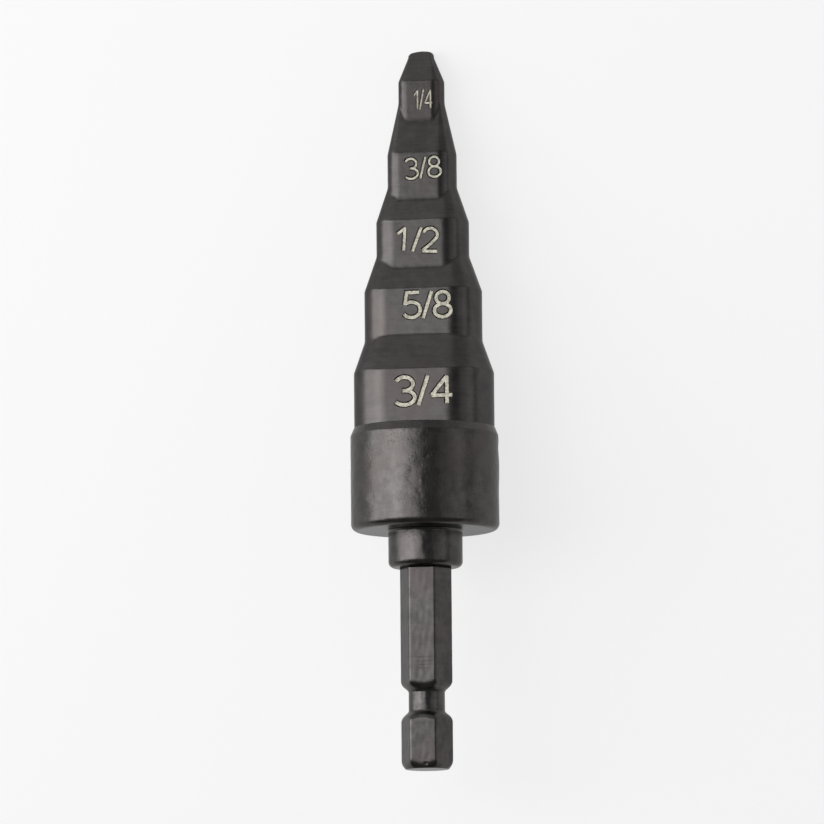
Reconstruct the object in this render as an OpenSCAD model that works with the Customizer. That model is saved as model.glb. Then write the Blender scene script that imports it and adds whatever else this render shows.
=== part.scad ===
// Stepped swaging bit for widening the mouths of soft pipes, turned and drafted from one bar.
// It lies at rest on the collar's upper rim and on the lower flat of its smallest step.
// Millimetres. The tip points to +Y, the numbered flats face up, the floor is Z = 0.

/* [Hex shank] */
// Across the hexagon's flats
hex_flats = 6.35; // [6.2:0.05:6.5]
// Rounding of the hexagon's corners
hex_corner = 0.35; // [0.2:0.05:0.6]
// Hexagon below the groove, from the shank's end
hex_lower = 6.5; // [5.5:0.1:7.5]
// Height of the sloping side below the groove, at the hexagon's corners
groove_rise_lower = 1.4; // [0.8:0.1:1.8]
// Straight part of the groove
groove_straight = 2.9; // [2:0.1:3.5]
// Height of the sloping side above the groove, at the hexagon's corners
groove_rise_upper = 1.3; // [0.8:0.1:1.8]
// Diameter of the groove's floor
groove_d = 5; // [4.6:0.1:5.6]
// Hexagon above the groove, up to the neck
hex_upper = 15.8; // [14:0.1:18]
// Height of the chamfer on the shank's end, at the hexagon's corners
end_chamfer_height = 0.8; // [0.4:0.1:1.2]
// Diameter of the shank's flat end face
end_face_d = 5.9; // [5.2:0.1:6.1]

/* [Neck and collar] */
// Diameter of the round neck
neck_d = 10.25; // [9:0.05:12]
// Length of the neck between the hexagon and the collar
neck_length = 5.1; // [4:0.1:6.5]
// Rounding of the neck's lower edge
neck_round = 0.8; // [0.4:0.1:1.2]
// Diameter of the collar
collar_d = 20.5; // [20:0.1:23]
// Height of the collar with its edges
collar_height = 14.3; // [13:0.1:16]
// Rounding of the collar's lower edge
collar_round = 0.95; // [0.5:0.05:1.5]
// Height of the chamfer on the collar's upper edge
collar_chamfer_height = 1.05; // [0.6:0.05:1.4]
// Inward depth of the chamfer on the collar's upper edge
collar_chamfer_depth = 0.5; // [0.3:0.05:0.7]

/* [Three quarter step] */
// Diameter over the lobes
three_quarter_d = 19.4; // [18.8:0.05:19.5]
// Thickness over the flats
three_quarter_flats = 13.34; // [12.9:0.02:14]
// Radius of the blends from flat to lobe
three_quarter_blend = 5.5; // [4.9:0.1:6]
// Height from the collar's top to this step's upper edge
three_quarter_rise = 7.6; // [7:0.1:9]
// Slope of the taper above this step, from its axis
three_quarter_slope = 19.5; // [17:0.5:24]

/* [Five eighths step] */
// Diameter over the lobes
five_eighths_d = 16.3; // [15.8:0.05:16.6]
// Thickness over the flats
five_eighths_flats = 9.98; // [9.6:0.02:10.4]
// Radius of the blends from flat to lobe
five_eighths_blend = 3.8; // [3.5:0.1:4.4]
// Height from the edge of the step below to this step's upper edge
five_eighths_rise = 11.4; // [10:0.1:12.5]
// Slope of the taper above this step, from its axis
five_eighths_slope = 19.5; // [17:0.5:24]

/* [Half step] */
// Diameter over the lobes
half_d = 12.85; // [12.4:0.05:13.3]
// Thickness over the flats
half_flats = 8.04; // [7.8:0.02:8.4]
// Radius of the blends from flat to lobe
half_blend = 3.1; // [2.8:0.1:3.5]
// Height from the edge of the step below to this step's upper edge
half_rise = 9.7; // [8.5:0.1:11]
// Slope of the taper above this step, from its axis
half_slope = 18.7; // [16:0.1:23]

/* [Three eighths step] */
// Diameter over the lobes
three_eighths_d = 9.6; // [9.2:0.05:10]
// Thickness over the flats
three_eighths_flats = 6.24; // [6:0.02:6.6]
// Radius of the blends from flat to lobe
three_eighths_blend = 2; // [1.9:0.05:2.4]
// Height from the edge of the step below to this step's upper edge
three_eighths_rise = 9.5; // [8.5:0.1:11]
// Slope of the taper above this step, from its axis
three_eighths_slope = 12.7; // [11.5:0.1:16]

/* [Quarter step and tip] */
// Diameter over the lobes
quarter_d = 6.4; // [6:0.05:6.8]
// Thickness over the flats
quarter_flats = 4.3; // [4:0.02:4.5]
// Radius of the blends from flat to lobe
quarter_blend = 1.5; // [1.46:0.01:1.6]
// Height from the edge of the step below to this step's upper edge
quarter_rise = 10.2; // [9.5:0.1:12]
// Slope of the nose's lobes, from its axis
nose_slope = 22.4; // [20:0.2:23]
// Slope of the nose's flats, from its axis
nose_flat_slope = 17.8; // [16:0.2:18.4]
// Height of the sloping nose above the quarter step
nose_height = 3.4; // [3:0.1:3.5]
// Height of the blunt tip above the nose
tip_height = 0.9; // [0.85:0.05:1.2]
// Radius of the rounded edge around the tip
tip_round = 0.65; // [0.5:0.05:0.7]
// Rise of the shallow dome across the tip
tip_dome = 0.15; // [0.1:0.01:0.2]

/* [Hidden] */
steel = [0.13, 0.13, 0.14];
// Facets of a full circle, on the large rounds and on the small edges
facets = 90;
edge_facets = 24;
// Amount by which joined shapes run into each other
bury = 0.05;
// Amount by which the blends would pass the lobes if the lobes' round didn't cut them
lobe_cut = 0.02;
// Room around the bar in which a cutter ends
spare = 2;
// Sides of the shank's bar
hex_sides = 6;

// Levels along the axis, from the shank's end
groove_floor_start = hex_lower + groove_rise_lower;
groove_floor_end = groove_floor_start + groove_straight;
groove_end = groove_floor_end + groove_rise_upper;
neck_start = groove_end + hex_upper;
collar_start = neck_start + neck_length;
collar_top = collar_start + collar_height;
collar_rim = collar_top - collar_chamfer_height;
three_quarter_top = collar_top + three_quarter_rise;
five_eighths_top = three_quarter_top + five_eighths_rise;
half_top = five_eighths_top + half_rise;
three_eighths_top = half_top + three_eighths_rise;
quarter_top = three_eighths_top + quarter_rise;
nose_top = quarter_top + nose_height;
tip_level = nose_top + tip_height;

// Distance from a hexagon's centre to the centre of a rounded corner
hex_corner_reach = (hex_flats / 2 - hex_corner) / cos(180 / hex_sides);
// Radius over the hexagon's corners, and one well outside them
hex_outer_r = hex_corner_reach + hex_corner;
outside_hex = hex_outer_r + spare;

// Radius of the tip outside its rounded edge, and the level where that edge begins
tip_r = quarter_d / 2 - nose_height * tan(nose_slope);
tip_round_level = tip_level - tip_dome - tip_round;
// Radius of the sphere that makes the tip's dome
dome_chord = tip_r - tip_round;
dome_radius = (dome_chord * dome_chord + tip_dome * tip_dome) / (2 * tip_dome);

// Angle at which the bit comes to rest on the collar's rim and on one of its flats
function rest_angle(top, flats) =
    atan((collar_d / 2 - flats / 2) / (top - collar_rim));
tilt = min(
    rest_angle(three_quarter_top, three_quarter_flats),
    rest_angle(five_eighths_top, five_eighths_flats),
    rest_angle(half_top, half_flats),
    rest_angle(three_eighths_top, three_eighths_flats),
    rest_angle(quarter_top, quarter_flats)
);
// Height of the axis at the shank's end above the floor
axis_lift = collar_d / 2 * cos(tilt) + collar_rim * sin(tilt);
// Ends of the resting bit along Y, and the middle between them
rear_y = -end_face_d / 2 * sin(tilt);
front_y = (tip_level - dome_radius) * cos(tilt) + dome_radius;
middle_y = (rear_y + front_y) / 2;

// Place of the blends' centres, across the lobes and towards the flats
function blend_v(flats, blend) = flats / 2 - blend;
function blend_u(d, flats, blend) =
    sqrt(pow(d / 2 - blend + lobe_cut, 2) - pow(blend_v(flats, blend), 2));

// The wedge on both sides in which the lobes keep their full radius
module lobe_wedge(u, v, reach) {
    for (side = [0, 180])
        rotate(side)
            polygon([[0, 0], [reach, -reach * v / u], [reach, reach * v / u]]);
}

// One lobed step: a round with two opposite flats, blended at its four corners
module lobed_prism(d, flats, blend, height) {
    u = blend_u(d, flats, blend);
    v = blend_v(flats, blend);
    linear_extrude(height = height)
        intersection() {
            circle(d = d, $fn = facets);
            union() {
                square([2 * u, flats], center = true);
                for (x = [-u, u])
                    for (y = [-v, v])
                        translate([x, y])
                            circle(r = blend, $fn = facets);
                lobe_wedge(u, v, d);
            }
        }
}

// The inner part of a taper: plane flats, cones in the corners and wedges that the lobes cut
module drafted_core(d, flats, blend, slope, height) {
    u = blend_u(d, flats, blend);
    v = blend_v(flats, blend);
    inset = height * tan(slope);
    rotate([90, 0, 90])
        linear_extrude(height = 2 * u, center = true)
            polygon([
                [-flats / 2, 0],
                [flats / 2, 0],
                [flats / 2 - inset, height],
                [inset - flats / 2, height]
            ]);
    for (x = [-u, u])
        for (y = [-v, v])
            translate([x, y, 0])
                cylinder(r1 = blend, r2 = blend - inset, h = height, $fn = facets);
    linear_extrude(height = height)
        lobe_wedge(u, v, d);
}

// The same section drawn in evenly by the slope
module lobed_draft(d, flats, blend, slope, height) {
    intersection() {
        cylinder(r1 = d / 2, r2 = d / 2 - height * tan(slope), h = height, $fn = facets);
        drafted_core(d, flats, blend, slope, height);
    }
}

// The height at which a taper has passed inside the next step
function taper_height(d, flats, next_d, next_flats, slope) =
    (max(d - next_d, flats - next_flats) / 2 + bury) / tan(slope);

module hex_bar() {
    linear_extrude(height = neck_start + bury) {
        circle(r = hex_corner_reach, $fn = hex_sides);
        for (side = [0 : hex_sides - 1])
            rotate(side * 360 / hex_sides) {
                translate([hex_corner_reach, 0])
                    circle(r = hex_corner, $fn = edge_facets);
                rotate(180 / hex_sides)
                    translate([0, -hex_corner_reach / 2])
                        square([hex_flats / 2, hex_corner_reach]);
            }
    }
}

// Height that a cone gains from its inner radius out to radius r, if it gains rise up to the corners
function cone_gain(rise, inner_r, r) = rise * (r - inner_r) / (hex_outer_r - inner_r);

// The hexagon cut by a turned outline with the end chamfer and the groove
module shank() {
    end_r = end_face_d / 2;
    floor_r = groove_d / 2;
    intersection() {
        hex_bar();
        rotate_extrude($fn = facets)
            polygon([
                [0, 0],
                [end_r, 0],
                [outside_hex, cone_gain(end_chamfer_height, end_r, outside_hex)],
                [outside_hex, groove_floor_start - cone_gain(groove_rise_lower, floor_r, outside_hex)],
                [floor_r, groove_floor_start],
                [floor_r, groove_floor_end],
                [outside_hex, groove_floor_end + cone_gain(groove_rise_upper, floor_r, outside_hex)],
                [outside_hex, neck_start + bury],
                [0, neck_start + bury]
            ]);
    }
}

module neck_and_collar() {
    rotate_extrude($fn = facets) {
        translate([0, neck_start])
            square([neck_d / 2 - neck_round, neck_round]);
        translate([0, neck_start + neck_round])
            square([neck_d / 2, neck_length - neck_round + bury]);
        translate([neck_d / 2 - neck_round, neck_start + neck_round])
            circle(r = neck_round, $fn = edge_facets);
        translate([0, collar_start])
            square([collar_d / 2 - collar_round, collar_round]);
        translate([collar_d / 2 - collar_round, collar_start + collar_round])
            circle(r = collar_round, $fn = edge_facets);
        polygon([
            [0, collar_start + collar_round],
            [collar_d / 2, collar_start + collar_round],
            [collar_d / 2, collar_rim],
            [collar_d / 2 - collar_chamfer_depth, collar_top],
            [0, collar_top]
        ]);
    }
}

// A straight lobed step and the taper that leads to the next one
module step(start, top, d, flats, blend, next_d, next_flats, slope) {
    translate([0, 0, start])
        lobed_prism(d, flats, blend, top - start);
    translate([0, 0, top])
        lobed_draft(d, flats, blend, slope, taper_height(d, flats, next_d, next_flats, slope));
}

// Half outline of the nose's lobes and the blunt tip
module nose_outline() {
    polygon([
        [0, quarter_top],
        [quarter_d / 2, quarter_top],
        [tip_r, nose_top],
        [tip_r, tip_round_level],
        [0, tip_round_level]
    ]);
    translate([dome_chord, tip_round_level])
        circle(r = tip_round, $fn = edge_facets);
    intersection() {
        translate([0, tip_level - dome_radius])
            circle(r = dome_radius, $fn = facets);
        translate([0, tip_round_level - bury])
            square([dome_chord, tip_round + tip_dome + 2 * bury]);
    }
}

// The last step, with its drafted nose and a blunt, slightly domed tip
module quarter_step() {
    translate([0, 0, three_eighths_top])
        lobed_prism(quarter_d, quarter_flats, quarter_blend, quarter_rise);
    intersection() {
        translate([0, 0, quarter_top])
            drafted_core(quarter_d, quarter_flats, quarter_blend, nose_flat_slope,
                nose_height + tip_height + bury);
        rotate_extrude($fn = facets)
            nose_outline();
    }
}

// The whole bit on its own axis, from the shank's end to the tip
module upright_bit() {
    shank();
    neck_and_collar();
    step(collar_rim, three_quarter_top, three_quarter_d, three_quarter_flats,
        three_quarter_blend, five_eighths_d, five_eighths_flats, three_quarter_slope);
    step(three_quarter_top, five_eighths_top, five_eighths_d, five_eighths_flats,
        five_eighths_blend, half_d, half_flats, five_eighths_slope);
    step(five_eighths_top, half_top, half_d, half_flats,
        half_blend, three_eighths_d, three_eighths_flats, half_slope);
    step(half_top, three_eighths_top, three_eighths_d, three_eighths_flats,
        three_eighths_blend, quarter_d, quarter_flats, three_eighths_slope);
    quarter_step();
}

module swaging_bit() {
    color(steel)
        translate([0, -middle_y, axis_lift])
            rotate([-90 - tilt, 0, 0])
                upright_bit();
}

swaging_bit();
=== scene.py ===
"""Looks of a stepped swaging bit: dark steel with fine tool marks and bright engraved size numbers."""

import logging
import math
from dataclasses import dataclass
from enum import Enum
from typing import TypeAlias

import bmesh
import bpy
import numpy as np
from mathutils import Euler, Matrix, Vector


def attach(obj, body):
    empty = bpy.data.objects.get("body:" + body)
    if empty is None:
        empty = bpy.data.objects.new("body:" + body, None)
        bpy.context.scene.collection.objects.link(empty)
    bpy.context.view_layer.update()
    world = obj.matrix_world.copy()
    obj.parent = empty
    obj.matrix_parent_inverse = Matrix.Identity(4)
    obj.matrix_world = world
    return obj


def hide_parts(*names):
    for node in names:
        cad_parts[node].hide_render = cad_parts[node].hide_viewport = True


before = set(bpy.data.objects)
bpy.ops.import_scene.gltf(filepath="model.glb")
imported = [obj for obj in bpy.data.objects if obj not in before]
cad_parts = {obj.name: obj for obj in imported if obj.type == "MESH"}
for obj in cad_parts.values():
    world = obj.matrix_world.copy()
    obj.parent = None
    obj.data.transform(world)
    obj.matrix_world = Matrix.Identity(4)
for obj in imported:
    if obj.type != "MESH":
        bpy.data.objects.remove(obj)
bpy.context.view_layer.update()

LOG = logging.getLogger("swaging_bit")
MM = 0.001
CAD_NODE = "swaging_bit"

# Smallest half sizes, in millimetres, that a step's section is drawn in to.
LEAST_LOBE = 0.05
LEAST_FLAT = 0.02
# Points of a quarter round.
ROUND_POINTS = 10
# Turn between the points of a figure's bow, in degrees, and the fewest spans of a bow.
BOW_TURN = 12.0
BOW_SPANS = 6
# Least cosine that a mitre is divided by, so that a sharp corner of a stroke stays short.
MITRE_LIMIT = 0.4

Setting = str | bool | int | float
Colour = tuple[float, float, float]
Lengths = np.ndarray | float
Stations = tuple[tuple[float, float], ...]
Value: TypeAlias = "Sig | float | int"
Inputs: TypeAlias = "dict[str | int, Value | tuple[float, ...] | Vector | Euler]"


def soft_min(a: Lengths, b: Lengths, reach: float) -> Lengths:
    """Take the smaller of two radii with a rounded edge between them.

    Args:
        a: First radii, in millimetres.
        b: Second radii, in millimetres.
        reach: Difference of the radii within which the edge is rounded.

    Returns:
        The rounded minimum.
    """
    near = np.clip(reach - np.abs(a - b), 0.0, None) / reach
    return np.minimum(a, b) - near * near * reach / 4.0


def soft_max(a: Lengths, b: Lengths, reach: float) -> Lengths:
    """Take the larger of two radii with a small fillet between them."""
    return -soft_min(-a, -b, reach)


def spaced(stops: list[tuple[float, float]]) -> np.ndarray:
    """Make levels that are closer together where an edge needs them.

    Args:
        stops: Levels and the spacing wanted from each to the next.

    Returns:
        All levels in order, the last stop's own level included.
    """
    parts = []
    for (low, gap), (high, _) in zip(stops, stops[1:]):
        count = max(1, round((high - low) / gap))
        parts.append(np.linspace(low, high, count, endpoint=False))
    parts.append(np.array([stops[-1][0]]))
    return np.concatenate(parts)


def placed(name: str, data: bpy.types.ID) -> bpy.types.Object:
    """Make an object and link it to the scene.

    Args:
        name: Name of the object.
        data: Its mesh, camera data or light data.

    Returns:
        The object.
    """
    thing = bpy.data.objects.new(name, data)
    bpy.context.scene.collection.objects.link(thing)
    return thing


def looking(place: Vector, across: Vector, up: Vector, out: Vector) -> Matrix:
    """Give the matrix of a camera or a light that looks against the direction out."""
    return Matrix.Translation(place) @ Matrix((across, up, out)).transposed().to_4x4()


@dataclass(frozen=True)
class LobedStep:
    """One swaging step: a round with two opposite flats and blended corners.

    Attributes:
        diameter: Size over the lobes, in millimetres.
        flats: Thickness over the flats.
        blend: Radius of the blends between flat and lobe.
        top: Level of the step's upper edge.
        slope: Slope of the taper above it, in degrees from the axis.
    """

    diameter: float
    flats: float
    blend: float
    top: float
    slope: float

    def radius(self, angle: np.ndarray, inset: np.ndarray) -> np.ndarray:
        """Give the section's radius in a direction, drawn in by an inset.

        Args:
            angle: Directions round the axis, in radians, 0 over a lobe.
            inset: How far the section is drawn in, in millimetres.

        Returns:
            Radii in millimetres, of the shape that angle and inset broadcast to.
        """
        across, up = np.abs(np.cos(angle)), np.abs(np.sin(angle))
        centre_v = self.flats / 2 - self.blend
        centre_u = math.sqrt((self.diameter / 2 - self.blend) ** 2 - centre_v**2)
        lobe = np.maximum(self.diameter / 2 - inset, LEAST_LOBE)
        flat = np.maximum(self.flats / 2 - inset, LEAST_FLAT)
        blend = np.maximum(self.blend - inset, LEAST_FLAT)
        along = across * centre_u + up * centre_v
        under = blend**2 - centre_u**2 - centre_v**2 + along**2
        arc = along + np.sqrt(np.clip(under, 0.0, None))
        in_lobe = up * centre_u <= across * centre_v
        plane = flat / np.clip(up, 1e-6, None)
        blended = np.where(in_lobe, lobe, np.where(arc * across >= centre_u, arc, plane))
        return np.where(inset < self.blend, blended, np.minimum(lobe, plane))

    def surface(self, angle: np.ndarray, level: np.ndarray, edge: float, most: float) -> np.ndarray:
        """Give the step's and its taper's radius.

        Args:
            angle: Directions round the axis, in radians.
            level: Levels along the axis, in millimetres.
            edge: Reach of the rounding at the upper edge.
            most: Largest inset that the taper reaches.

        Returns:
            Radii in millimetres.
        """
        inset = (level - self.top) * math.tan(math.radians(self.slope))
        straight = self.radius(angle, np.zeros_like(level))
        return soft_min(straight, self.radius(angle, np.minimum(inset, most)), edge)


@dataclass(frozen=True)
class Hexagon:
    """The shank's bar: a hexagon with slightly rounded corners.

    Attributes:
        flats: Size across the flats, in millimetres.
        corner: Radius of the corners.
    """

    flats: float = 6.35
    corner: float = 0.35

    def corner_reach(self) -> float:
        """Give the distance from the axis to a corner's centre."""
        return (self.flats / 2 - self.corner) / math.cos(math.pi / 6)

    def outer_radius(self) -> float:
        """Give the radius over the corners."""
        return self.corner_reach() + self.corner

    def radius(self, angle: np.ndarray) -> np.ndarray:
        """Give the hexagon's radius in a direction, with a corner at 0.

        Args:
            angle: Directions round the axis, in radians.

        Returns:
            Radii in millimetres.
        """
        third = math.pi / 3
        off_corner = np.abs((angle + third / 2) % third - third / 2)
        reach = self.corner_reach()
        plane = self.flats / 2 / np.cos(third / 2 - off_corner)
        under = self.corner**2 - (reach * np.sin(off_corner)) ** 2
        arc = reach * np.cos(off_corner) + np.sqrt(np.clip(under, 0.0, None))
        meet = math.atan2(self.corner * math.sin(third / 2), reach + self.corner * math.cos(third / 2))
        return np.where(off_corner < meet, arc, plane)


@dataclass(frozen=True)
class Dent:
    """A shallow knock in a surface.

    Attributes:
        level: Level along the axis, in millimetres.
        angle: Direction round the axis, in degrees, -90 on the numbered side.
        depth: Depth in millimetres, negative for a raised spot.
        tall: Half height along the axis.
        wide: Half width round the axis, in degrees.
    """

    level: float
    angle: float
    depth: float
    tall: float
    wide: float

    def drop(self, angle: np.ndarray, level: Lengths) -> np.ndarray:
        """Give the depth of this dent at each place.

        Args:
            angle: Directions round the axis, in radians.
            level: Levels along the axis, in millimetres.

        Returns:
            Depths in millimetres.
        """
        turn = (np.degrees(angle) - self.angle + 180.0) % 360.0 - 180.0
        spread = (turn / self.wide) ** 2 + ((level - self.level) / self.tall) ** 2
        return self.depth * np.exp(-spread)


@dataclass(frozen=True)
class Waves:
    """Slow unevenness left by forging and tumbling, as a sum of fixed waves.

    Attributes:
        height: Height of the waves, in millimetres.
        seed: Seed of the waves' directions and phases.
        count: Number of waves.
        finest: Shortest wavelength along the axis, in millimetres.
        span: Longest wavelength along the axis, as a multiple of the shortest.
        turns: Fewest waves round the axis, and one more than the most.
    """

    height: float
    seed: int
    count: int = 24
    finest: float = 1.6
    span: float = 6.0
    turns: tuple[int, int] = (2, 26)

    def rise(self, angle: np.ndarray, level: np.ndarray) -> np.ndarray:
        """Give the height of the waves at each place.

        Args:
            angle: Directions round the axis, in radians.
            level: Levels along the axis, in millimetres.

        Returns:
            Heights in millimetres.
        """
        draw = np.random.default_rng(self.seed)
        total = np.zeros(np.broadcast(angle, level).shape)
        for _ in range(self.count):
            turns = int(draw.integers(*self.turns))
            pace = 2 * math.pi / draw.uniform(self.finest, self.finest * self.span)
            phase = draw.uniform(0, 2 * math.pi)
            tilt = draw.choice((-1.0, 1.0))
            total = total + np.sin(turns * angle + tilt * pace * level + phase)
        return total * self.height / math.sqrt(self.count)


class Skin:
    """Rings of points round the axis that become one closed mesh."""

    def __init__(self, sectors: int) -> None:
        """Start an empty skin.

        Args:
            sectors: Points in each ring.
        """
        self.sectors = sectors
        self.angle = np.arange(sectors) * 2 * math.pi / sectors
        self.rings: list[np.ndarray] = []

    def add(self, radius: Lengths, level: Lengths) -> None:
        """Add one ring, from the shank's side towards the tip.

        Args:
            radius: Radius of each point, in millimetres.
            level: Level of each point, in millimetres.
        """
        radius = np.broadcast_to(radius, self.angle.shape)
        level = np.broadcast_to(level, self.angle.shape)
        ring = np.stack([radius * np.cos(self.angle), radius * np.sin(self.angle), level], axis=1)
        self.rings.append(ring * MM)

    def mesh(self, name: str, first: float, last: float) -> bpy.types.Mesh:
        """Close both ends and make the mesh.

        Args:
            name: Name of the mesh.
            first: Level of the middle of the lower end.
            last: Level of the middle of the upper end.

        Returns:
            The mesh, in metres on the bit's own axes.
        """
        count = len(self.rings)
        points = np.concatenate([*self.rings, [[0.0, 0.0, first * MM], [0.0, 0.0, last * MM]]])
        here = np.arange(self.sectors)
        ahead = (here + 1) % self.sectors
        faces: list[tuple[int, ...]] = []
        for row in range(count - 1):
            low, high = row * self.sectors, (row + 1) * self.sectors
            faces += list(zip(low + here, low + ahead, high + ahead, high + here))
        bottom, top = count * self.sectors, count * self.sectors + 1
        faces += [(bottom, int(b), int(a)) for a, b in zip(here, ahead)]
        high = (count - 1) * self.sectors
        faces += [(top, int(high + a), int(high + b)) for a, b in zip(here, ahead)]
        mesh = bpy.data.meshes.new(name)
        mesh.from_pydata(points.tolist(), [], [tuple(map(int, f)) for f in faces])
        mesh.validate()
        mesh.shade_smooth()
        return mesh


STEPS = (
    LobedStep(19.4, 13.34, 5.5, 54.9, 19.5),
    LobedStep(16.3, 9.98, 3.8, 66.3, 19.5),
    LobedStep(12.85, 8.04, 3.1, 76.0, 18.7),
    LobedStep(9.6, 6.24, 2.0, 85.5, 12.7),
    LobedStep(6.4, 4.3, 1.5, 95.7, 17.8),
)


@dataclass(frozen=True)
class Collar:
    """The neck and the collar as one turned skin, in millimetres and levels along the axis.

    Attributes:
        neck_radius: Radius of the neck.
        neck_start: Level of the neck's lower face.
        neck_round: Radius of the neck's lower edge.
        radius: Radius of the collar.
        start: Level of the collar's underside.
        round: Radius of the collar's lower edge.
        rim: Level where the upper chamfer begins.
        top: Level of the collar's upper face.
        chamfer: How far the chamfer draws the collar in.
        face_rings: Rings of the neck's lower face, as shares of its flat part.
        gaps: Spacing of the rings on the neck, the underside and the collar.
        margins: Room between an edge and the nearest ring: over the neck's edge, at both ends of
            the underside and at both ends of the collar.
        worn_rim: Points over the chamfer's lower edge, as radius and level from the sharp edge.
        worn_crest: Points over its upper edge and in under the steps, in the same way.
        sectors: Points in each ring.
        waves: Slow unevenness of the surface.
        dents: Knocks and raised spots.
    """

    neck_radius: float = 5.125
    neck_start: float = 27.9
    neck_round: float = 0.8
    radius: float = 10.25
    start: float = 33.0
    round: float = 0.95
    rim: float = 46.25
    top: float = 47.3
    chamfer: float = 0.5
    face_rings: tuple[float, ...] = (0.5, 0.8)
    gaps: tuple[float, float, float] = (0.4, 0.5, 0.2)
    margins: tuple[float, float, float, float, float] = (0.4, 0.3, 0.2, 0.15, 0.12)
    worn_rim: Stations = ((-0.02, -0.02), (-0.06, 0.07))
    worn_crest: Stations = ((0.05, -0.12), (0.01, -0.03), (-0.06, 0.0), (-1.5, 0.0))
    sectors: int = 320
    waves: Waves = Waves(0.010, 11)
    dents: tuple[Dent, ...] = (
        Dent(46.4, 12.0, 0.10, 0.5, 6.0),
        Dent(44.4, 9.0, 0.06, 0.9, 9.0),
        Dent(41.3, 10.0, -0.04, 1.6, 8.0),
        Dent(37.8, 7.0, 0.05, 1.5, 9.0),
        Dent(42.2, -78.0, 0.05, 0.25, 1.6),
        Dent(37.8, -112.0, -0.04, 0.3, 1.6),
        Dent(42.9, -120.0, 0.05, 0.3, 1.6),
        Dent(38.9, -82.0, -0.05, 0.35, 1.8),
        Dent(37.5, -85.0, 0.05, 0.3, 1.6),
        Dent(36.8, -80.0, -0.04, 0.3, 1.6),
        Dent(39.9, -49.0, -0.04, 0.5, 2.5),
        Dent(40.6, -94.0, -0.03, 0.6, 2.2),
        Dent(31.2, -84.0, -0.04, 0.4, 5.0),
        Dent(30.1, -78.0, 0.04, 0.4, 5.0),
    )

    def profile(self) -> list[tuple[float, float]]:
        """Give the turned outline, from the neck's lower face to the steps.

        Returns:
            Points of the outline as radius and level.
        """
        inner, outer = self.neck_radius - self.neck_round, self.radius - self.round
        neck_gap, under_gap, side_gap = self.gaps
        neck_low, under_in, under_out, side_low, side_high = self.margins
        neck_edge, edge = self.neck_start + self.neck_round, self.start + self.round
        points = [(inner * share, self.neck_start) for share in self.face_rings]
        points += self.quarter(inner, neck_edge, self.neck_round)
        neck = spaced([(neck_edge + neck_low, neck_gap), (self.start, neck_gap)])
        points += [(self.neck_radius, level) for level in neck]
        under = spaced([(self.neck_radius + under_in, under_gap), (outer - under_out, under_gap)])
        points += [(radius, self.start) for radius in under]
        points += self.quarter(outer, edge, self.round)
        side = spaced([(edge + side_low, side_gap), (self.rim - side_high, side_gap)])
        points += [(self.radius, level) for level in side]
        points += [(self.radius + out, self.rim + up) for out, up in self.worn_rim]
        points += [(self.radius - self.chamfer + out, self.top + up) for out, up in self.worn_crest]
        return points

    @staticmethod
    def quarter(radius: float, level: float, size: float) -> list[tuple[float, float]]:
        """Give a quarter round from facing the shank to facing out.

        Args:
            radius: Radius of the round's centre from the axis.
            level: Level of the round's centre.
            size: Radius of the round itself.

        Returns:
            Points of the round as radius and level.
        """
        turns = np.radians(np.linspace(-90, 0, ROUND_POINTS))
        return [(radius + size * math.cos(t), level + size * math.sin(t)) for t in turns]

    def mesh(self) -> bpy.types.Mesh:
        """Make the neck and collar as one turned skin.

        Returns:
            The mesh, in metres on the bit's own axes.
        """
        skin = Skin(self.sectors)
        for radius, level in self.profile():
            worn = self.waves.rise(skin.angle, np.full_like(skin.angle, level)) * (radius / self.radius)
            for dent in self.dents:
                worn = worn - dent.drop(skin.angle, level)
            skin.add(radius + worn, level)
        return skin.mesh("neck_and_collar", self.neck_start, self.top)


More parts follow.
